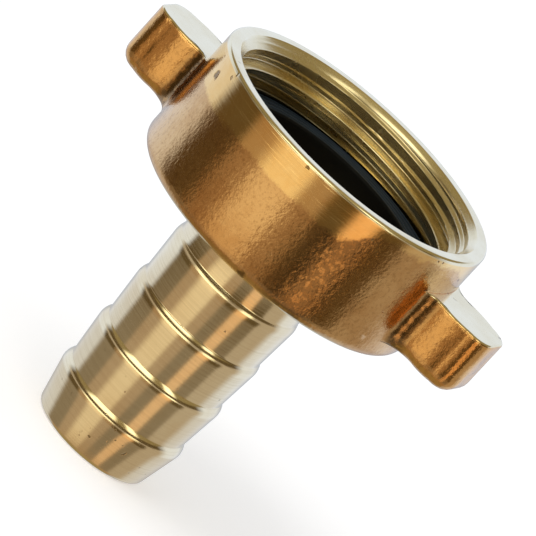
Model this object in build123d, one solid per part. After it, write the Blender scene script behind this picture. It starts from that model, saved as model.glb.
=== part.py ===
"""Brass hose tail with a swivelling wing nut and its sealing washer.

The fitting stands on the tip of its tail, +Z up along the bore, origin at the centre of the tip.
All sizes are in millimetres. The lugs of the nut lie along X.
"""
from build123d import *
import math
import os

# ---- Hose tail: one turned piece ----
WATERWAY_D = 9.5           # straight bore from tip to collar
WATERWAY_CHAMFER = 0.3     # at both ends of the bore
TIP_D = 12.1               # outside of the tip before its edge is rounded
TIP_EDGE_R = 0.45
BARB_COUNT = 4
BARB_PITCH = 5.2
FIRST_CREST_Z = 4.4        # widest place of the lowest barb, above the tip
CREST_D = 14.0             # widest place of the upper barbs
LOWEST_CREST_D = 13.8
LOWEST_ROOT_D = 13.1       # corner above the lowest barb
ROOT_STEP = 0.17           # each corner further up is this much wider
SHOULDER_LENGTH = 0.9      # a barb's rounded shoulder, crest to corner
NECK_D = 13.6
NECK_LENGTH = 6.9          # from the corner above the top barb to the underside of the collar
COLLAR_THICKNESS = 2.0
COLLAR_CLEARANCE = 0.16    # the collar goes in through the thread with this much room all round
COLLAR_EDGE = 0.3
COLLAR_FILLET_R = 0.4      # under the collar, where it meets the neck

# ---- Sealing washer ----
WASHER_GRIP = 0.54         # the washer's rim reaches this far under the thread, which keeps it in
WASHER_WIDTH = 2.6         # rim to hole
WASHER_THICKNESS = 2.4
WASHER_EDGE_R = 0.25

# ---- Wing nut: one forged and turned piece ----
THREAD_CREST_D = 24.12     # G 3/4 internal thread, across its crests
THREAD_LENGTH = 3.1        # straight stretch of the thread
COUNTERSINK = 1.69         # depth and width of the 45 degree mouth
RIM_EDGE_R = 0.3
WASHER_END_PLAY = 0.2      # between the washer and the thread's last crest
WASHER_SIDE_PLAY = 0.7     # between the washer's rim and the undercut behind the thread
UNDERCUT_CORNER_R = 0.3
NUT_WALL = 1.7             # around the undercut
COLLAR_PLAY = 0.6          # how far the nut slides along the tail
BACK_WALL = 2.2            # holds the tail's collar in
BARB_CLEARANCE = 0.35      # the back hole slips over the barbs with this much room all round
BACK_HOLE_EDGE = 0.6       # clears the fillet under the collar
BACK_EDGE_R = 1.2
LUG_LENGTH = 6.6           # out from the nut's side
LUG_DROP = 3.7             # rim to the top of the lugs
LUG_HEIGHT = 6.2
LUG_ROOT_WIDTH = 6.6
LUG_TIP_WIDTH = 6.0
LUG_CORNER_R = 2.0         # at the lug's tip, seen from above
LUG_ROOT_R = 2.0           # where the lug's sides run into the nut
LUG_LOWER_R = 1.5          # around the lug's lower edge

# ---- Radii, worked out from the sizes above ----
waterway_r = WATERWAY_D / 2
thread_r = THREAD_CREST_D / 2
collar_r = thread_r - COLLAR_CLEARANCE
washer_r = thread_r + WASHER_GRIP
undercut_r = washer_r + WASHER_SIDE_PLAY
nut_r = undercut_r + NUT_WALL
back_hole_r = CREST_D / 2 + BARB_CLEARANCE
lug_reach = nut_r + LUG_LENGTH

# ---- Places along the axis ----
top_corner_z = FIRST_CREST_Z + (BARB_COUNT - 1) * BARB_PITCH + SHOULDER_LENGTH
collar_bottom_z = top_corner_z + NECK_LENGTH
collar_top_z = collar_bottom_z + COLLAR_THICKNESS
washer_top_z = collar_top_z + WASHER_THICKNESS
thread_start_z = washer_top_z + WASHER_END_PLAY
thread_end_z = thread_start_z + THREAD_LENGTH
rim_z = thread_end_z + COUNTERSINK
back_inner_z = collar_bottom_z - COLLAR_PLAY
nut_back_z = back_inner_z - BACK_WALL
lug_top_z = rim_z - LUG_DROP
lug_bottom_z = lug_top_z - LUG_HEIGHT

TOUCH = 0.01  # places closer than this are the same place


def vertex_at(sketch, r, z):
    """The corner of an axial section that lies at radius r and height z."""
    return sketch.vertices().sort_by_distance((r, 0, z))[0]


def make_hose_tail():
    """Barbed tube with a flat collar: each barb is a cone that ends in a rounded shoulder."""
    tip_r = TIP_D / 2
    neck_r = NECK_D / 2
    with BuildSketch(Plane.XZ) as section:
        with BuildLine():
            corner = (tip_r, 0)
            Line((waterway_r, 0), corner)
            for barb in range(BARB_COUNT):
                crest_z = FIRST_CREST_Z + barb * BARB_PITCH
                crest_r = (LOWEST_CREST_D if barb == 0 else CREST_D) / 2
                top_barb = barb == BARB_COUNT - 1
                root_r = neck_r if top_barb else (LOWEST_ROOT_D + barb * ROOT_STEP) / 2
                Line(corner, (crest_r, crest_z))
                corner = (root_r, crest_z + SHOULDER_LENGTH)
                TangentArc((crest_r, crest_z), corner, tangent=(0, 1))
            Polyline(
                corner,
                (neck_r, collar_bottom_z),
                (collar_r, collar_bottom_z),
                (collar_r, collar_top_z),
                (waterway_r, collar_top_z),
                (waterway_r, 0),
            )
        make_face()
        fillet(vertex_at(section.sketch, tip_r, 0), TIP_EDGE_R)
        fillet(vertex_at(section.sketch, neck_r, collar_bottom_z), COLLAR_FILLET_R)
        collar_edges = [vertex_at(section.sketch, collar_r, z) for z in (collar_bottom_z, collar_top_z)]
        chamfer(collar_edges, COLLAR_EDGE)
        bore_edges = [vertex_at(section.sketch, waterway_r, z) for z in (0, collar_top_z)]
        chamfer(bore_edges, WATERWAY_CHAMFER)
    return revolve(section.sketch, Axis.Z)


def make_sealing_washer():
    """Flat rubber ring with softened edges."""
    middle_r = washer_r - WASHER_WIDTH / 2
    middle_z = collar_top_z + WASHER_THICKNESS / 2
    with BuildSketch(Plane.XZ) as section:
        with Locations((middle_r, middle_z)):
            RectangleRounded(WASHER_WIDTH, WASHER_THICKNESS, WASHER_EDGE_R)
    return revolve(section.sketch, Axis.Z)


def make_nut_body():
    """The nut's round body, solid, with a rounded back and a softened rim."""
    with BuildSketch(Plane.XZ) as section:
        with BuildLine():
            Polyline((0, nut_back_z), (nut_r, nut_back_z), (nut_r, rim_z), (0, rim_z), close=True)
        make_face()
        fillet(vertex_at(section.sketch, nut_r, nut_back_z), BACK_EDGE_R)
        fillet(vertex_at(section.sketch, nut_r, rim_z), RIM_EDGE_R)
    return revolve(section.sketch, Axis.Z)


def make_nut_bore():
    """What is cut out of the nut: back hole, undercut, thread bore and countersink."""
    with BuildSketch(Plane.XZ) as section:
        with BuildLine():
            Polyline(
                (0, nut_back_z),
                (back_hole_r, nut_back_z),
                (back_hole_r, back_inner_z - BACK_HOLE_EDGE),
                (back_hole_r + BACK_HOLE_EDGE, back_inner_z),
                (undercut_r, back_inner_z),
                (undercut_r, thread_start_z),
                (thread_r, thread_start_z),
                (thread_r, thread_end_z),
                (thread_r + COUNTERSINK, rim_z),
                (0, rim_z),
                close=True,
            )
        make_face()
        undercut_corners = [vertex_at(section.sketch, undercut_r, z) for z in (back_inner_z, thread_start_z)]
        fillet(undercut_corners, UNDERCUT_CORNER_R)
    return revolve(section.sketch, Axis.Z)


def make_lugs():
    """Two tapered lugs that run into the round body with hollow fillets."""
    embed_r = nut_r - NUT_WALL / 2
    taper = (LUG_ROOT_WIDTH - LUG_TIP_WIDTH) / LUG_LENGTH
    width_at_axis = LUG_ROOT_WIDTH + taper * nut_r  # the lug's sides run on to the middle of the nut
    with BuildSketch(Plane.XY.offset(lug_top_z)) as plan:
        Circle(nut_r)
        for side in (1, -1):
            with BuildLine():
                Polyline(
                    (0, -width_at_axis / 2),
                    (side * lug_reach, -LUG_TIP_WIDTH / 2),
                    (side * lug_reach, LUG_TIP_WIDTH / 2),
                    (0, width_at_axis / 2),
                    close=True,
                )
            make_face()
        tip_corners = plan.vertices().filter_by(lambda v: abs(v.X) > lug_reach - TOUCH)
        fillet(tip_corners, LUG_CORNER_R)
        root_corners = plan.vertices().filter_by(lambda v: math.hypot(v.X, v.Y) < nut_r + TOUCH)
        fillet(root_corners, LUG_ROOT_R)
        Circle(embed_r, mode=Mode.SUBTRACT)
    slab = extrude(plan.sketch, amount=-LUG_HEIGHT)
    lower_edges = slab.edges().filter_by_position(Axis.Z, lug_bottom_z - TOUCH, lug_bottom_z + TOUCH)
    outline = lower_edges.filter_by(lambda e: math.hypot((e @ 0.5).X, (e @ 0.5).Y) > nut_r - TOUCH)
    return fillet(outline, LUG_LOWER_R)


def make_wing_nut():
    """The nut as it leaves the lathe: forged outside, turned mouth, bore and back hole."""
    forging = make_nut_body() + make_lugs()
    return forging - make_nut_bore()


pieces = {
    "hose_tail": make_hose_tail(),
    "sealing_washer": make_sealing_washer(),
    "wing_nut": make_wing_nut(),
}
os.makedirs("parts", exist_ok=True)
for node, piece in pieces.items():
    export_step(piece, f"parts/{node}.step")
    print(f"{node}: {len(piece.solids())} solid, {piece.volume:.1f} mm3, {piece.bounding_box().size}")
print(f"overall height {rim_z:.2f} mm, nut back {nut_back_z:.2f} mm, lugs {lug_bottom_z:.2f} to {lug_top_z:.2f} mm")
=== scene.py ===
"""Brass hose tail with a swivelling wing nut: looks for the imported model, in its own frame.

The fitting stands on the tip of its tail, +Z up, with the nut's lugs along X. Lengths written in
millimetres are turned to metres where a mesh or a pattern is made.
"""
import math

import bmesh
import bpy
from mathutils import Matrix, Vector


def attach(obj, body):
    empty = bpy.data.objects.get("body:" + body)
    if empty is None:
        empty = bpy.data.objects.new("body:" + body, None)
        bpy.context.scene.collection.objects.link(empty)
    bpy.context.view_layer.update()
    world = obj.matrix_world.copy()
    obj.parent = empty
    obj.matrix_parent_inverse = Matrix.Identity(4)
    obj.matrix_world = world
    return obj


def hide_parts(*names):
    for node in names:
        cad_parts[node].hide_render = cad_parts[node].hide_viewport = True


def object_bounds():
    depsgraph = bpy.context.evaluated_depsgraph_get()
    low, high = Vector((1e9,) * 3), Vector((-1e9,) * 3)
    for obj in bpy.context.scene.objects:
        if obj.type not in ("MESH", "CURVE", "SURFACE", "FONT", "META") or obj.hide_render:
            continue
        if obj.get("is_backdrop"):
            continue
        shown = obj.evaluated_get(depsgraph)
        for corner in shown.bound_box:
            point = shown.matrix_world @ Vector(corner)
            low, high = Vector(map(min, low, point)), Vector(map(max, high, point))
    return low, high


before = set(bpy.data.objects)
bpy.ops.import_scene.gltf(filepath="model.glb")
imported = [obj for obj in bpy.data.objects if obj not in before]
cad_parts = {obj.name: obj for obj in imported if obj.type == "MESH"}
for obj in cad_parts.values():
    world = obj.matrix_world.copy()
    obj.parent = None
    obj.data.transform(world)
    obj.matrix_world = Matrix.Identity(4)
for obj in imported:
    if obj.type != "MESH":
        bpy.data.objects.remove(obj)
cad_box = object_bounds()
scene = bpy.context.scene
scene.view_settings.view_transform = "Standard"

# ---- Camera ----
# A long lens from the front and a little above, rolled so that the tail points down to the left.
# Its focal length is given in pixels of a frame 536 pixels wide.
CAMERA_AZIMUTH, CAMERA_ELEVATION, CAMERA_ROLL = (math.radians(a) for a in (13.6, 17.15, 42.5))
CAMERA_DISTANCE = 0.7
FOCAL_PIXELS, FRAME_PIXELS, SENSOR_MM = 7888.2, 536, 36
AIM = Vector((0, 0, 0.0296))
AIM_RIGHT, AIM_UP = -0.00142, 0.00631  # where the aimed point lies from the middle of the frame

look = Vector((-math.sin(CAMERA_AZIMUTH) * math.cos(CAMERA_ELEVATION),
               math.cos(CAMERA_AZIMUTH) * math.cos(CAMERA_ELEVATION),
               -math.sin(CAMERA_ELEVATION)))
level_right = Vector((math.cos(CAMERA_AZIMUTH), math.sin(CAMERA_AZIMUTH), 0))
level_up = level_right.cross(look)
camera_right = level_right * math.cos(CAMERA_ROLL) + level_up * math.sin(CAMERA_ROLL)
camera_up = level_up * math.cos(CAMERA_ROLL) - level_right * math.sin(CAMERA_ROLL)
camera_data = bpy.data.cameras.new("camera")
camera_data.sensor_width = SENSOR_MM
camera_data.lens = FOCAL_PIXELS / FRAME_PIXELS * SENSOR_MM
camera_data.clip_end = 10
camera = bpy.data.objects.new("camera", camera_data)
scene.collection.objects.link(camera)
camera.matrix_world = Matrix((camera_right, camera_up, -look)).transposed().to_4x4()
camera.matrix_world.translation = (
    AIM - look * CAMERA_DISTANCE - level_right * AIM_RIGHT - level_up * AIM_UP)
scene.camera = camera

# ---- Studio: floor, light tent, lamps ----
# A white floor that keeps the fitting's soft shadow, and a round light tent of bright and dark
# cloths that only the metal sees. The brass gets its bands of gold and brown from the tent.


class Value:
    """One socket of a node tree: arithmetic on it adds Math nodes, and node() adds any other."""

    def __init__(self, tree, socket=None):
        self.tree, self.socket = tree, socket

    def node(self, kind, settings=None, inputs=None, output=0):
        """Adds a node. Among the settings, stops are those of its colour ramp."""
        new = self.tree.nodes.new(kind)
        for name, setting in (settings or {}).items():
            if name == "stops":
                elements = new.color_ramp.elements
                while len(elements) < len(setting):
                    elements.new(1)
                for element, (position, colour) in zip(elements, setting):
                    element.position = position
                    element.color = (*colour, 1)
            else:
                setattr(new, name, setting)
        for key, value in (inputs or {}).items():
            if isinstance(value, Value):
                self.tree.links.new(value.socket, new.inputs[key])
            else:
                new.inputs[key].default_value = value
        return Value(self.tree, new.outputs[output] if new.outputs else None)

    def math(self, operation, *values):
        return self.node("ShaderNodeMath", {"operation": operation}, dict(enumerate(values)))

    def __add__(self, other): return self.math("ADD", self, other)
    def __sub__(self, other): return self.math("SUBTRACT", self, other)
    def __mul__(self, other): return self.math("MULTIPLY", self, other)
    def __truediv__(self, other): return self.math("DIVIDE", self, other)
    def __radd__(self, other): return self.math("ADD", other, self)
    def __rsub__(self, other): return self.math("SUBTRACT", other, self)
    def __rmul__(self, other): return self.math("MULTIPLY", other, self)

    def ramp(self, stops):
        """A colour for each value, between stops given as (position, colour)."""
        return self.node("ShaderNodeValToRGB", {"stops": stops}, {"Fac": self})

    def step(self, low, high):
        """0 below low, 1 above high, smooth between."""
        return self.node("ShaderNodeMapRange", {"interpolation_type": "SMOOTHSTEP"},
                         {"Value": self, "From Min": low, "From Max": high})

    def mix(self, first, second):
        """The first colour where this value is 0, the second where it is 1."""
        return self.node("ShaderNodeMix", {"data_type": "RGBA"},
                         {0: self, 6: first, 7: second}, output=2)


def new_material(name):
    material = bpy.data.materials.new(name)
    material.use_nodes = True
    material.node_tree.nodes.clear()
    return material, Value(material.node_tree)


def along(place, axis):
    """How far a place lies along an axis through the origin."""
    return place.node("ShaderNodeVectorMath", {"operation": "DOT_PRODUCT"},
                      {0: place, 1: axis}, output="Value")


def make_object(name, bm, material, smooth=None):
    """A mesh object at the origin; smooth is the angle in degrees past which an edge stays sharp."""
    mesh = bpy.data.meshes.new(name)
    bm.to_mesh(mesh)
    bm.free()
    obj = bpy.data.objects.new(name, mesh)
    scene.collection.objects.link(obj)
    mesh.materials.append(material)
    if smooth is not None:
        mesh.shade_smooth()
        mesh.set_sharp_from_angle(angle=math.radians(smooth))
    return obj


FLOOR_SIZE, FLOOR_COLOUR, FLOOR_GLOW = 6.0, (0.86, 0.86, 0.86, 1), 0.42
PLAIN_WHITE = (1, 1, 1, 1)
floor_material, tools = new_material("studio_floor")
floor_shade = tools.node("ShaderNodeBsdfDiffuse", None, {"Color": FLOOR_COLOUR})
floor_glow = tools.node("ShaderNodeEmission", None, {"Color": PLAIN_WHITE, "Strength": FLOOR_GLOW})
floor_light = tools.node("ShaderNodeAddShader", None, {0: floor_shade, 1: floor_glow})
tools.node("ShaderNodeOutputMaterial", None, {"Surface": floor_light})
bm = bmesh.new()
bmesh.ops.create_grid(bm, x_segments=1, y_segments=1, size=FLOOR_SIZE / 2)
floor = make_object("studio_floor", bm, floor_material)
floor.visible_glossy = False
floor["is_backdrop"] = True

TENT_RADIUS = 0.3
TENT_LOW, TENT_HIGH = -0.45, 0.55
UNDERSIDE_FADE, VEIL_FADE = (-0.34, -0.29), (-0.115, -0.090)  # heights where one runs into the next
VEIL_AMOUNT = 0.4
WHITE, GREY = (0.85, 0.96, 1.20), (0.56, 0.62, 0.74)
CREAM, STRAW = (1.00, 0.84, 0.58), (0.50, 0.44, 0.36)
AMBER, BROWN, DARK = (1.00, 0.64, 0.34), (0.42, 0.29, 0.17), (0.12, 0.085, 0.04)
GOLD, OLIVE = (2.1, 2.0, 1.5), (0.30, 0.24, 0.12)
# The cloths round the tent: each hangs from one direction to another, in degrees to the right of
# the camera's, and runs softly into the next.
CLOTHS = ((-180, -160, GREY), (-145, -105, WHITE), (-95, -65, DARK), (-60, -45, BROWN),
          (-35, -10, CREAM), (-5, 8, BROWN), (13, 29, DARK), (33, 47, AMBER), (51, 70, DARK),
          (75, 100, STRAW), (115, 145, WHITE), (160, 180, GREY))
UNDERSIDE = ((-180, -112, GREY), (-95, 95, BROWN), (112, 180, GREY))
# Higher up, in front, a dark cloth hangs between two bright gold ones. Behind, the cloth is white
# as far up as the rim and the lugs' tops see it, and olive above that, where the mouth sees it.
# Each strip has the heights where it begins, and its colours at the sides, in front and behind.
STRIPS = ((0.014, 0.030, STRAW, GOLD, WHITE), (0.058, 0.074, DARK, DARK, WHITE),
          (0.150, 0.190, OLIVE, GOLD, OLIVE))


def hung(cloths):
    """The two edges of each cloth as stops of a colour ramp that goes once round the tent."""
    return tuple(((degrees + 180) / 360, colour) for left, right, colour in cloths
                 for degrees in (left, right))


tent_material, tools = new_material("light_tent")
place = tools.node("ShaderNodeTexCoord", output="Object")
toward_camera = Vector((-look.x, -look.y, 0)).normalized()
turn = tools.math("ARCTAN2", along(place, level_right), along(place, toward_camera))
turn = turn / (2 * math.pi) + 0.5
height = tools.node("ShaderNodeSeparateXYZ", None, {0: place}, output="Z")
walls = turn.ramp(hung(CLOTHS))
# a pale veil over the lower part, which the tail sees, evens out its bands
walls = (VEIL_AMOUNT * (1 - height.step(*VEIL_FADE))).mix(walls, (*STRAW, 1))
walls = height.step(*UNDERSIDE_FADE).mix(turn.ramp(hung(UNDERSIDE)), walls)
for low, high, side, front, back in STRIPS:
    strip = turn.ramp(hung((
        (-180, -115, back), (-98, -60, side), (-45, 4, front), (14, 32, side),
        (40, 52, front), (60, 98, side), (115, 180, back))))
    walls = height.step(low, high).mix(walls, strip)
glow = tools.node("ShaderNodeEmission", None, {"Color": walls})
tools.node("ShaderNodeOutputMaterial", None, {"Surface": glow})
bm = bmesh.new()
bmesh.ops.create_cone(bm, cap_ends=False, segments=128, radius1=TENT_RADIUS, radius2=TENT_RADIUS,
                      depth=TENT_HIGH - TENT_LOW,
                      matrix=Matrix.Translation((0, 0, (TENT_HIGH + TENT_LOW) / 2)))
tent = make_object("light_tent", bm, tent_material)
tent.visible_camera = tent.visible_diffuse = tent.visible_shadow = False
tent.visible_transmission = tent.visible_volume_scatter = False
tent_material.cycles.emission_sampling = "NONE"
tent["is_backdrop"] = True

AIR_STRENGTH = 0.55             # soft light from all round
CANOPY = (0.38, 0.31, 0.16, 1)  # what the metal sees above the tent and below it
world = bpy.data.worlds.new("studio")
scene.world = world
world.use_nodes = True
world.node_tree.nodes.clear()
tools = Value(world.node_tree)
camera_ray = tools.node("ShaderNodeLightPath", output="Is Camera Ray")
glossy_ray = tools.node("ShaderNodeLightPath", output="Is Glossy Ray")
air = tools.node("ShaderNodeBackground", None, {"Color": PLAIN_WHITE, "Strength": AIR_STRENGTH})
backdrop = tools.node("ShaderNodeBackground", None, {"Color": PLAIN_WHITE, "Strength": 1})
canopy = tools.node("ShaderNodeBackground", None, {"Color": CANOPY, "Strength": 1})
sky = tools.node("ShaderNodeMixShader", None, {0: glossy_ray, 1: air, 2: canopy})
sky = tools.node("ShaderNodeMixShader", None, {0: camera_ray, 1: sky, 2: backdrop})
tools.node("ShaderNodeOutputWorld", None, {"Surface": sky})

LAMP_WATTS, LAMP_SIZE = 2.2, 0.5
LAMP_PLACE, LAMP_TARGET = (-0.25, -0.35, 0.75), Vector((0, 0, 0.02))
lamp_data = bpy.data.lights.new("softbox", "AREA")
lamp_data.energy, lamp_data.size = LAMP_WATTS, LAMP_SIZE
lamp = bpy.data.objects.new("softbox", lamp_data)
scene.collection.objects.link(lamp)
lamp.visible_glossy = False
lamp.location = LAMP_PLACE
lamp.rotation_euler = (LAMP_TARGET - lamp.location).to_track_quat("-Z", "Y").to_euler()

# ---- Hose tail ----
# One turned brass tube: four barbs hold the hose, and a flat collar at its top end carries the
# washer and keeps the nut on. Each barb is a cone that ends in a rounded shoulder.
MM = 0.001
WATERWAY_R, WATERWAY_CHAMFER = 4.75, 0.3
TIP_R, TIP_EDGE_R = 6.05, 0.45
BARB_COUNT, BARB_PITCH, FIRST_CREST_Z = 4, 5.2, 4.4
LOWEST_CREST_R, CREST_R = 6.9, 7.0
LOWEST_ROOT_R, ROOT_STEP, NECK_R = 6.55, 0.085, 6.8
SHOULDER_LENGTH, NECK_LENGTH = 0.9, 6.9
CREST_EASE, CREST_EASE_LENGTH = 0.012, 0.22  # how the cone bends into the crest above it
ROOT_EASE, ROOT_EASE_LENGTH = 0.008, 0.12    # and the shoulder into the root of the next cone
NECK_FILLET, NECK_FILLET_MIDDLE = 0.4, 0.12
COLLAR_R, COLLAR_THICKNESS, COLLAR_EDGE = 11.9, 2.0, 0.3
SHOULDER_STEPS, TAIL_SEGMENTS, TAIL_SMOOTH = 8, 224, 40
MERGE_DISTANCE = 1e-7


def spun_piece(name, section, segments, material, smooth):
    """A closed ring of revolution from a closed section, given as (radius, height) in mm."""
    bm = bmesh.new()
    corners = [bm.verts.new((r * MM, 0, z * MM)) for r, z in section]
    edges = [bm.edges.new((a, b)) for a, b in zip(corners, corners[1:] + corners[:1])]
    bmesh.ops.spin(bm, geom=corners + edges, cent=(0, 0, 0), axis=(0, 0, 1),
                   angle=2 * math.pi, steps=segments, use_merge=True)
    bmesh.ops.remove_doubles(bm, verts=bm.verts, dist=MERGE_DISTANCE)
    bmesh.ops.recalc_face_normals(bm, faces=bm.faces)
    return make_object(name, bm, material, smooth)


def rounded(centre_r, centre_z, radius, start, end, steps=4):
    """Points on an arc of the section, from one angle to the other, in degrees."""
    return [(centre_r + radius * math.cos(math.radians(start + (end - start) * i / steps)),
             centre_z + radius * math.sin(math.radians(start + (end - start) * i / steps)))
            for i in range(steps + 1)]


collar_bottom_z = FIRST_CREST_Z + (BARB_COUNT - 1) * BARB_PITCH + SHOULDER_LENGTH + NECK_LENGTH
collar_top_z = collar_bottom_z + COLLAR_THICKNESS
tail_section = [(WATERWAY_R + WATERWAY_CHAMFER, 0)]
tail_section += rounded(TIP_R - TIP_EDGE_R, TIP_EDGE_R, TIP_EDGE_R, -90, -6)
for barb in range(BARB_COUNT):
    crest_z = FIRST_CREST_Z + barb * BARB_PITCH
    crest_r = LOWEST_CREST_R if barb == 0 else CREST_R
    root_r = NECK_R if barb == BARB_COUNT - 1 else LOWEST_ROOT_R + barb * ROOT_STEP
    drop = crest_r - root_r
    shoulder_r = (drop ** 2 + SHOULDER_LENGTH ** 2) / (2 * drop)
    sweep = math.degrees(math.asin(SHOULDER_LENGTH / shoulder_r))
    tail_section += [(crest_r - CREST_EASE, crest_z - CREST_EASE_LENGTH)]
    tail_section += rounded(crest_r - shoulder_r, crest_z, shoulder_r, 0, sweep, SHOULDER_STEPS)
    tail_section += [(root_r + ROOT_EASE, crest_z + SHOULDER_LENGTH + ROOT_EASE_LENGTH)]
tail_section += [
    (NECK_R, collar_bottom_z - NECK_FILLET),
    (NECK_R + NECK_FILLET_MIDDLE, collar_bottom_z - NECK_FILLET_MIDDLE),
    (NECK_R + NECK_FILLET, collar_bottom_z), (COLLAR_R - COLLAR_EDGE, collar_bottom_z),
    (COLLAR_R, collar_bottom_z + COLLAR_EDGE), (COLLAR_R, collar_top_z - COLLAR_EDGE),
    (COLLAR_R - COLLAR_EDGE, collar_top_z), (WATERWAY_R + WATERWAY_CHAMFER, collar_top_z),
    (WATERWAY_R, collar_top_z - WATERWAY_CHAMFER), (WATERWAY_R, WATERWAY_CHAMFER)]

TURNED_BRASS, DULLED_BRASS = (0.87, 0.74, 0.49, 1), (0.80, 0.64, 0.39, 1)
TOOL_LINE_BROWN, TAIL_PIT_BROWN = (0.60, 0.46, 0.27, 1), (0.25, 0.17, 0.08, 1)
TAIL_BUMP = 0.000007
tail_material, tools = new_material("turned_brass")
place = tools.node("ShaderNodeTexCoord", output="Object")
height = tools.node("ShaderNodeSeparateXYZ", None, {0: place}, output="Z")


def noise(coordinates, scale, detail=2, roughness=0.5, stretch=(1, 1, 1)):
    """Noise between 0 and 1; stretch squeezes the pattern along each axis."""
    mapped = coordinates.node("ShaderNodeMapping", None, {"Vector": coordinates, "Scale": stretch})
    return mapped.node("ShaderNodeTexNoise", None, {
        "Vector": mapped, "Scale": scale, "Detail": detail, "Roughness": roughness})


tool_marks = noise(place, 1000, 3, 0.75, (0.04, 0.04, 5))
streaks = noise(place, 420, 2, 0.6, (1, 1, 0.06))
scuffs = noise(place, 350, 3, 0.6)
pits = noise(place, 1500, 1, 0.5).step(0.70, 0.76) * noise(place, 220, 1).step(0.52, 0.66)
dulling = noise(place, 130, 3, 0.6).step(0.35, 0.75)
tail_colour = dulling.mix(TURNED_BRASS, DULLED_BRASS)
tail_colour = (tool_marks.step(0.42, 0.72) * 0.24).mix(tail_colour, TOOL_LINE_BROWN)
tail_colour = (pits * 0.8).mix(tail_colour, TAIL_PIT_BROWN)
tail_relief = tool_marks + streaks * 0.8 + scuffs * 0.35 - pits * 2
tail_bump = tools.node("ShaderNodeBump", None, {
    "Strength": 1.0, "Distance": TAIL_BUMP, "Height": tail_relief})
shade = tools.node("ShaderNodeBsdfPrincipled", None, {
    "Base Color": tail_colour, "Metallic": 1.0,
    "Roughness": 0.07 + 0.06 * scuffs + 0.06 * tool_marks, "Normal": tail_bump})
tools.node("ShaderNodeOutputMaterial", None, {"Surface": shade})
tail = spun_piece("turned_tail", tail_section, TAIL_SEGMENTS, tail_material, TAIL_SMOOTH)
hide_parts("hose_tail")
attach(tail, "tail")

# ---- Sealing washer ----
# A flat ring of black nitrile rubber, pressed under the thread into the nut's undercut. Its face shows the
# faint rings of the mould, with fine grey lines of painted sheen across it.
WASHER_R, WASHER_WIDTH, WASHER_THICKNESS, WASHER_EDGE_R = 12.6, 2.6, 2.4, 0.25
MOULD_RINGS = (10.75, 11.35, 11.95)
RING_DEPTH, RING_HALF_WIDTH = 0.12, 0.14
PAINTED_SHEEN_PITCH = 0.6
WASHER_SEGMENTS, WASHER_SMOOTH = 160, 50
washer_bottom_z = collar_top_z
washer_top_z = washer_bottom_z + WASHER_THICKNESS
washer_inner_r = WASHER_R - WASHER_WIDTH
edge_out, edge_in = WASHER_R - WASHER_EDGE_R, washer_inner_r + WASHER_EDGE_R
edge_low, edge_high = washer_bottom_z + WASHER_EDGE_R, washer_top_z - WASHER_EDGE_R
washer_section = rounded(edge_out, edge_low, WASHER_EDGE_R, -90, 0)
washer_section += rounded(edge_out, edge_high, WASHER_EDGE_R, 0, 90)
for ring_r in reversed(MOULD_RINGS):
    washer_section += [(ring_r + RING_HALF_WIDTH, washer_top_z), (ring_r, washer_top_z - RING_DEPTH),
                       (ring_r - RING_HALF_WIDTH, washer_top_z)]
washer_section += rounded(edge_in, edge_high, WASHER_EDGE_R, 90, 180)
washer_section += rounded(edge_in, edge_low, WASHER_EDGE_R, 180, 270)


def from_axis(place):
    """How far a place lies from the fitting's axis."""
    across = place.node("ShaderNodeVectorMath", {"operation": "MULTIPLY"}, {0: place, 1: (1, 1, 0)})
    return place.node("ShaderNodeVectorMath", {"operation": "LENGTH"}, {0: across}, output="Value")


RUBBER, RUBBER_BLOOM = (0.010, 0.015, 0.020, 1), (0.020, 0.029, 0.038, 1)
# the last black below is painted shade for the washer's hole
PAINTED_SHEEN_GREY, HOLE_PAINTED_SHADE_BLACK = (0.038, 0.054, 0.066, 1), (0.0015, 0.0018, 0.0022, 1)
RUBBER_BUMP = 0.00003
rubber, tools = new_material("black_rubber")
place = tools.node("ShaderNodeTexCoord", output="Object")
reach = from_axis(place)
bloom = noise(place, 260, 3, 0.6).step(0.4, 0.75)
grain = noise(place, 3500, 2, 0.6)
# painted shade: the hole is painted a deeper black than the face
face = reach.step((washer_inner_r + 0.1) * MM, (washer_inner_r + 0.5) * MM)
# painted sheen: fine grey rings painted across the face, greyer than the rest of the face
painted_sheen_lines = tools.math("SINE", reach * (2 * math.pi / (PAINTED_SHEEN_PITCH * MM))).step(0.2, 1.0)
rubber_colour = bloom.mix(RUBBER, RUBBER_BLOOM)
rubber_colour = (painted_sheen_lines * 0.5).mix(rubber_colour, PAINTED_SHEEN_GREY)
rubber_colour = face.mix(HOLE_PAINTED_SHADE_BLACK, rubber_colour)
rubber_bump = tools.node("ShaderNodeBump", None, {
    "Strength": 0.4, "Distance": RUBBER_BUMP, "Height": grain})
shade = tools.node("ShaderNodeBsdfPrincipled", None, {
    "Base Color": rubber_colour, "Roughness": 0.50 + 0.14 * bloom, "Specular IOR Level": 0.12,
    "Normal": rubber_bump})
tools.node("ShaderNodeOutputMaterial", None, {"Surface": shade})
washer = spun_piece("rubber_washer", washer_section, WASHER_SEGMENTS, rubber, WASHER_SMOOTH)
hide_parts("sealing_washer")
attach(washer, "washer")

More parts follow.
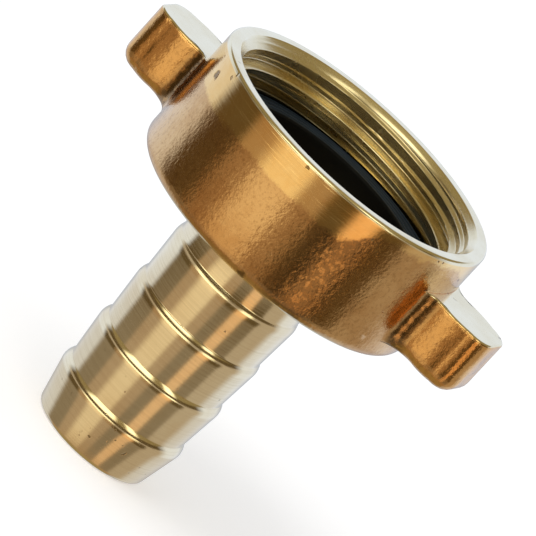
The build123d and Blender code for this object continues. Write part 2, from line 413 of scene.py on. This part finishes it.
# ---- Wing nut ----
# One brass forging with two lugs to turn it by hand: its skin is left as forged, and the mouth,
# the rim and a band below it are turned. The pipe thread is cut inside, behind a short cone.
NUT_R, NUT_BACK_Z, NUT_BACK_EDGE_R = 15.0, 25.0, 1.2
RIM_Z, RIM_EDGE_R, RIM_FLAT = 37.19, 0.3, 0.5
LUG_LENGTH, LUG_HEIGHT, LUG_DROP = 6.6, 6.2, 3.7
LUG_ROOT_HALF, LUG_TIP_HALF = 3.3, 3.0
LUG_CORNER_R, LUG_ROOT_R, LUG_LOWER_R, LUG_UPPER_R = 2.0, 2.0, 1.5, 0.22
LUG_BULGE = 0.26  # how far a lug's broad faces swell at their middle
THREAD_CREST_R, THREAD_MAJOR_R, THREAD_PITCH = 12.06, 13.22, 1.814
THREAD_FLAT = 0.125  # how much of the thread's wave is cut off flat at its crests and roots
FIRST_CREST_DEPTH, FIRST_CREST_ANGLE = 1.45, math.radians(103.6)  # where one crest is, below the rim
# The mouth's cone starts at MOUTH_R. From LEAD_R on, the tool cleared the first turn's crest as far
# down as LEAD_DEPTH, and ran out over LEAD_RUNOUT above that.
MOUTH_R, LEAD_R, LEAD_DEPTH, LEAD_RUNOUT = 13.75, 12.85, 2.2, 0.3
CREST_SOFTNESS = 0.25  # rounds the corner where the cone cuts the thread
UNDERCUT_R, UNDERCUT_CORNER = 13.3, 0.3
BACK_HOLE_R, BACK_HOLE_EDGE, BACK_HOLE_BREAK, BACK_WALL = 7.35, 0.6, 0.15, 2.2
BACK_FACE_R = 11.0  # a ring of edges across the back face
STOP_GAP = 0.01     # keeps the back wall just clear of the collar where the nut's float ends
WASHER_END_PLAY = 0.2
LUG_COLUMNS, WALL_COLUMNS = 88, 96  # columns of faces across each lug, and between the lugs
THREAD_ROW, NUT_SMOOTH = 0.04, 44
lug_top_z = RIM_Z - LUG_DROP
lug_bottom_z = lug_top_z - LUG_HEIGHT
thread_start_z = washer_top_z + WASHER_END_PLAY
back_inner_z = NUT_BACK_Z + BACK_WALL - STOP_GAP


def lug_outline(inset):
    """Points along half of a lug's outline seen from above, from its tip to the round wall.

    inset is how far the lug's sides and tip are drawn in; the round wall stays where it is.
    """
    taper = (LUG_ROOT_HALF - LUG_TIP_HALF) / LUG_LENGTH
    slant = math.hypot(1, taper)
    tip_x = NUT_R + LUG_LENGTH - inset
    corner_r = max(LUG_CORNER_R - inset, 0.05)
    root_r = LUG_ROOT_R + inset

    def side_y(x, offset=0.0):
        return LUG_TIP_HALF + taper * (NUT_R + LUG_LENGTH - x) + (offset - inset) * slant

    # the corner at the tip is round a centre inside the lug, the one at the root outside it
    corner_x = tip_x - corner_r
    corner_centre = Vector((corner_x, side_y(corner_x, -corner_r)))
    root_x = NUT_R
    for _ in range(20):  # settles on the place where the hollow fillet touches the round wall
        root_x = math.sqrt((NUT_R + root_r) ** 2 - side_y(root_x, root_r) ** 2)
    root_centre = Vector((root_x, side_y(root_x, root_r)))
    lean = math.atan(taper)
    across_face = Vector((math.sin(lean), math.cos(lean)))
    points = [Vector((tip_x, corner_centre.y * i / 6)) for i in range(6)]
    points += [corner_centre + corner_r * Vector((math.cos(a), math.sin(a)))
               for a in ((math.pi / 2 + lean) * i / 14 for i in range(15))]
    start, end = points[-1], root_centre - root_r * across_face
    points += [start.lerp(end, t) + 4 * t * (1 - t) * LUG_BULGE * across_face
               for t in (i / 10 for i in range(1, 10))]
    a0 = -math.pi / 2 - lean
    a1 = -math.pi + math.atan2(root_centre.y, root_centre.x)
    points += [root_centre + root_r * Vector((math.cos(a), math.sin(a)))
               for a in (a0 + (a1 - a0) * i / 14 for i in range(15))]
    return points


def resample(points, count):
    """The same line as count + 1 points, evenly spaced along it."""
    lengths = [0.0]
    for a, b in zip(points, points[1:]):
        lengths.append(lengths[-1] + (b - a).length)
    result, k = [], 0
    for i in range(count + 1):
        target = lengths[-1] * i / count
        while k < len(points) - 2 and lengths[k + 1] < target:
            k += 1
        span = lengths[k + 1] - lengths[k]
        part = min(1, (target - lengths[k]) / span) if span else 0
        result.append(points[k].lerp(points[k + 1], part))
    return result


def plan(inset):
    """One turn of the nut's outline with its lugs, as points in the order of the columns."""
    half = resample(lug_outline(inset), LUG_COLUMNS // 2)
    end_angle = math.atan2(half[-1].y, half[-1].x)
    lug = [Vector((p.x, -p.y)) for p in reversed(half)] + half[1:]
    wall = [NUT_R * Vector((math.cos(a), math.sin(a)))
            for a in (end_angle + (math.pi - 2 * end_angle) * i / WALL_COLUMNS
                      for i in range(1, WALL_COLUMNS))]
    one_side = lug + wall
    return one_side + [-p for p in one_side]


root = lug_outline(0)[-1]
root_angle = math.atan2(root.y, root.x)
lug_angles = [root_angle * (2 * i / LUG_COLUMNS - 1) for i in range(LUG_COLUMNS + 1)]
wall_angles = [root_angle + (math.pi - 2 * root_angle) * i / WALL_COLUMNS
               for i in range(1, WALL_COLUMNS)]
column_angles = lug_angles + wall_angles
column_angles += [a + math.pi for a in column_angles]


def thread_radius(angle, z):
    """Radius of the bore at a place on the thread, with the mouth's cone and cleared first turn."""
    turns = (z - RIM_Z + FIRST_CREST_DEPTH) / THREAD_PITCH - (angle - FIRST_CREST_ANGLE) / (2 * math.pi)
    wave = 0.5 - 0.5 * math.cos(2 * math.pi * turns)
    wave = min(1, max(0, (1 + 2 * THREAD_FLAT) * wave - THREAD_FLAT))
    wave = wave * wave * (3 - 2 * wave)
    groove = THREAD_CREST_R + (THREAD_MAJOR_R - THREAD_CREST_R) * wave
    depth = RIM_Z - z
    cleared = min(1, max(0, (LEAD_DEPTH - depth) / LEAD_RUNOUT))
    lead = THREAD_CREST_R + (LEAD_R - THREAD_CREST_R) * cleared
    mouth = max(MOUTH_R - depth, lead)
    overlap = max(0, CREST_SOFTNESS - abs(groove - mouth))
    return max(groove, mouth) + overlap ** 2 / (4 * CREST_SOFTNESS)


bm = bmesh.new()
ring = bmesh.ops.create_circle(bm, segments=len(column_angles), radius=1, cap_ends=False)["verts"]
first_ring = ring = sorted(ring, key=lambda v: math.atan2(v.co.y, v.co.x) % (2 * math.pi))


def place_ring(ring, z, radius=None, outline=None):
    """Puts a ring on a circle, on a radius that changes round the nut, or on an outline."""
    for i, vertex in enumerate(ring):
        if outline:
            x, y = outline[i]
        else:
            r = radius(column_angles[i], z) if callable(radius) else radius
            x, y = r * math.cos(column_angles[i]), r * math.sin(column_angles[i])
        vertex.co = (x * MM, y * MM, z * MM)


def next_ring(bm, ring):
    """Extrudes a ring of edges and gives the new ring in the same order."""
    edges = [bm.edges.get((a, b)) for a, b in zip(ring, ring[1:] + ring[:1])]
    made = bmesh.ops.extrude_edge_only(bm, edges=edges)["geom"]
    new = {v for v in made if isinstance(v, bmesh.types.BMVert)}
    return [next(e.other_vert(v) for e in v.link_edges if e.other_vert(v) in new) for v in ring]


# Each ring is its height and either its radius or its outline, from the rim down the outside, across
# the back and up the inside.
quarter = [math.pi / 2 * i / 6 for i in range(7)]
long_quarter = [math.pi / 2 * i / 10 for i in range(11)]
rim_edge_z, rim_edge_r = RIM_Z - RIM_EDGE_R, NUT_R - RIM_EDGE_R
back_edge_z, back_edge_r = NUT_BACK_Z + NUT_BACK_EDGE_R, NUT_R - NUT_BACK_EDGE_R
lug_wall = LUG_HEIGHT - LUG_UPPER_R - LUG_LOWER_R
rings = [(RIM_Z, rim_edge_r - RIM_FLAT, None)]
rings += [(rim_edge_z + RIM_EDGE_R * math.cos(a), rim_edge_r + RIM_EDGE_R * math.sin(a), None)
          for a in quarter]
rings += [(rim_edge_z - (LUG_DROP - RIM_EDGE_R - 0.1) * i / 8, NUT_R, None) for i in range(1, 9)]
rings += [(lug_top_z, NUT_R, None), (lug_top_z, None, plan(LUG_UPPER_R * 1.6)),
          (lug_top_z, None, plan(LUG_UPPER_R))]
rings += [(lug_top_z - LUG_UPPER_R * (1 - math.cos(a)), None, plan(LUG_UPPER_R * (1 - math.sin(a))))
          for a in quarter[2::2]]
rings += [(lug_top_z - LUG_UPPER_R - lug_wall * i / 14, None, plan(0)) for i in range(1, 15)]
rings += [(lug_bottom_z + LUG_LOWER_R * (1 - math.sin(a)), None, plan(LUG_LOWER_R * (1 - math.cos(a))))
          for a in quarter[1:]]
rings += [(lug_bottom_z, NUT_R, None), ((lug_bottom_z + back_edge_z) / 2, NUT_R, None)]
rings += [(back_edge_z - NUT_BACK_EDGE_R * math.sin(a), back_edge_r + NUT_BACK_EDGE_R * math.cos(a), None)
          for a in long_quarter]
rings += [(NUT_BACK_Z, BACK_FACE_R, None), (NUT_BACK_Z, BACK_HOLE_R + BACK_HOLE_BREAK, None),
          (NUT_BACK_Z + BACK_HOLE_BREAK, BACK_HOLE_R, None),
          (back_inner_z - BACK_HOLE_EDGE, BACK_HOLE_R, None),
          (back_inner_z, BACK_HOLE_R + BACK_HOLE_EDGE, None),
          (back_inner_z, UNDERCUT_R - UNDERCUT_CORNER, None),
          (back_inner_z + UNDERCUT_CORNER, UNDERCUT_R, None),
          (thread_start_z - UNDERCUT_CORNER, UNDERCUT_R, None)]
thread_rows = math.ceil((RIM_Z - thread_start_z) / THREAD_ROW)
rings += [(thread_start_z + (RIM_Z - thread_start_z) * i / thread_rows, thread_radius, None)
          for i in range(thread_rows + 1)]

place_ring(ring, *rings[0])
for entry in rings[1:]:
    ring = next_ring(bm, ring)
    place_ring(ring, *entry)
bmesh.ops.bridge_loops(bm, edges=[bm.edges.get((a, b)) for r in (ring, first_ring)
                                  for a, b in zip(r, r[1:] + r[:1])])
bmesh.ops.remove_doubles(bm, verts=bm.verts, dist=MERGE_DISTANCE)
bmesh.ops.recalc_face_normals(bm, faces=bm.faces)

FORGED_BRASS, FORGED_STAIN, LUG_BRASS = (0.72, 0.46, 0.21, 1), (0.56, 0.31, 0.12, 1), (0.74, 0.39, 0.12, 1)
BAND_BRASS, BAND_STAIN = (0.92, 0.66, 0.31, 1), (0.84, 0.52, 0.19, 1)
BORE_BRASS, BORE_STAIN = (0.86, 0.76, 0.52, 1), (0.80, 0.68, 0.42, 1)
# the first brown below is painted dark reflection and painted shade
PAINTED_DARK_BROWN, SPECKLE_BROWN = (0.16, 0.11, 0.06, 1), (0.40, 0.22, 0.08, 1)
# the black below is painted shade at the thread's foot
NUT_PIT_BROWN, PAINTED_SHADE_BLACK = (0.14, 0.08, 0.03, 1), (0.03, 0.03, 0.025, 1)
NUT_BUMP = 0.00005
# One knock on the turned band, three just under the rim and one on the back edge, each with its
# place and its size.
KNOCKS = ((-11.37, -9.78, 34.95, 0.70), (13.75, -5.85, 36.72, 0.22), (14.05, -5.25, 36.74, 0.20),
          (1.62, -14.91, 36.72, 0.30), (3.54, -14.40, 25.40, 0.75))
nut_material, tools = new_material("forged_brass")
place = tools.node("ShaderNodeTexCoord", output="Object")
height = tools.node("ShaderNodeSeparateXYZ", None, {0: place}, output="Z")
reach = from_axis(place)
rightward = along(place, level_right)
front_half = along(place, toward_camera).step(0.000, 0.006)
# the turned band's ragged edge, which reaches lower at the right of the front
band_edge = ((noise(place, 160, 6, 0.75) - 0.5) * 0.0040 + 0.0004
             - 0.0026 * rightward.step(0.0038, 0.0072) * front_half)
outside = reach.step((NUT_R - 0.45) * MM, (NUT_R - 0.3) * MM)
rim_edge = height.step((RIM_Z - 0.42) * MM, (RIM_Z - 0.24) * MM)
bore = 1 - reach.step((NUT_R - 1.45) * MM, (NUT_R - 1.25) * MM)
lug_tops = (reach.step((NUT_R + 0.02) * MM, (NUT_R + 0.08) * MM)
            * height.step((lug_top_z - 0.16) * MM, (lug_top_z - 0.04) * MM))
soft_band = (height + band_edge).step((lug_top_z - 0.4) * MM, (lug_top_z + 1.3) * MM)
sharp_band = (height + band_edge).step((lug_top_z + 0.2) * MM, (lug_top_z + 0.8) * MM)
# 1 on the skin as forged, 0 where the lathe has been: the mouth, the tops of the lugs and the band
forged, forged_skin = (outside * (1 - band) * (1 - lug_tops) for band in (sharp_band, soft_band))
skin = (noise(place, 1000, 2, 0.5) - 0.5) * 0.4 + (noise(place, 330, 2, 0.5) - 0.5) * 0.8
fine_skin = noise(place, 3200, 3, 0.6) - 0.5
turning = noise(place, 1000, 3, 0.7, (0.06, 0.06, 5))
pits = noise(place, 1100, 1, 0.5).step(0.72, 0.78) * noise(place, 150, 1).step(0.52, 0.68) * (1 - bore)
stain = noise(place, 160, 4, 0.65).step(0.35, 0.7)
speckle = noise(place, 2600, 2, 0.7).step(0.48, 0.70) * 0.45
lugs = reach.step((NUT_R + 0.3) * MM, (NUT_R + 1.2) * MM)
nut_colour = stain.mix(FORGED_BRASS, FORGED_STAIN)
nut_colour = (lugs * 0.6).mix(nut_colour, LUG_BRASS)
# painted dark reflection in a brown band down the front, and painted shade in the fillets where the lugs
# leave the round wall, both broken up by noise
painted_dark_reflection_and_shade = (front_half * rightward.step(0.0014, 0.0038) * (1 - rightward.step(0.0058, 0.0078))
           + reach.step((NUT_R + 0.02) * MM, (NUT_R + 0.25) * MM)
           * (1 - reach.step((NUT_R + 0.9) * MM, (NUT_R + 1.9) * MM)))
painted_dark_reflection_and_shade = painted_dark_reflection_and_shade * (0.75 - 0.5 * noise(place, 1700, 3, 0.65).step(0.50, 0.62))
nut_colour = painted_dark_reflection_and_shade.mix(nut_colour, PAINTED_DARK_BROWN)
nut_colour = speckle.mix(nut_colour, SPECKLE_BROWN)
turned_colour = stain.mix(BAND_BRASS, BAND_STAIN)
bore_colour = stain.mix(BORE_BRASS, BORE_STAIN)
turned_colour = (outside * (1 - lug_tops) * (1 - rim_edge)).mix(bore_colour, turned_colour)
nut_colour = forged.mix(turned_colour, nut_colour)
# painted shade at the thread's foot, on the left
painted_thread_foot_shade = (bore * (1 - height.step((washer_top_z + 0.3) * MM, (washer_top_z + 1.2) * MM))
         * (1 - rightward.step(-0.004, 0.003)) * 0.85)
nut_colour = painted_thread_foot_shade.mix(nut_colour, PAINTED_SHADE_BLACK)
for x, y, z, size in KNOCKS:
    distance = tools.node("ShaderNodeVectorMath", {"operation": "DISTANCE"},
                          {0: place, 1: (x * MM, y * MM, z * MM)}, output="Value")
    distance = distance + (noise(place, 2400, 2, 0.6) - 0.5) * (size * 0.9 * MM)
    pits = tools.math("MAXIMUM", pits, 1 - distance.step(size * 0.35 * MM, size * 0.75 * MM))
nut_colour = (pits * 0.8).mix(nut_colour, NUT_PIT_BROWN)
dents = lugs * (noise(place, 560, 1, 0.5) - 0.5) * 1.6
relief = (forged_skin * (skin + fine_skin * 0.55 + dents) - pits * 0.8
          + (1 - forged_skin) * (1 - 0.95 * bore) * (turning - 0.5) * 0.4)
nut_bump = tools.node("ShaderNodeBump", None, {
    "Strength": 1.0, "Distance": NUT_BUMP, "Height": relief})
shade = tools.node("ShaderNodeBsdfPrincipled", None, {
    "Base Color": nut_colour, "Metallic": 1.0,
    "Roughness": 0.10 + 0.03 * forged + 0.05 * stain + 0.14 * bore, "Normal": nut_bump})
tools.node("ShaderNodeOutputMaterial", None, {"Surface": shade})
nut = make_object("forged_wing_nut", bm, nut_material, NUT_SMOOTH)
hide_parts("wing_nut")
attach(nut, "nut")

# ---- Sizes for the record ----
size = {"cad": [list(map(float, corner)) for corner in cad_box],
        "visual": [list(map(float, corner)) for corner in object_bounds()]}
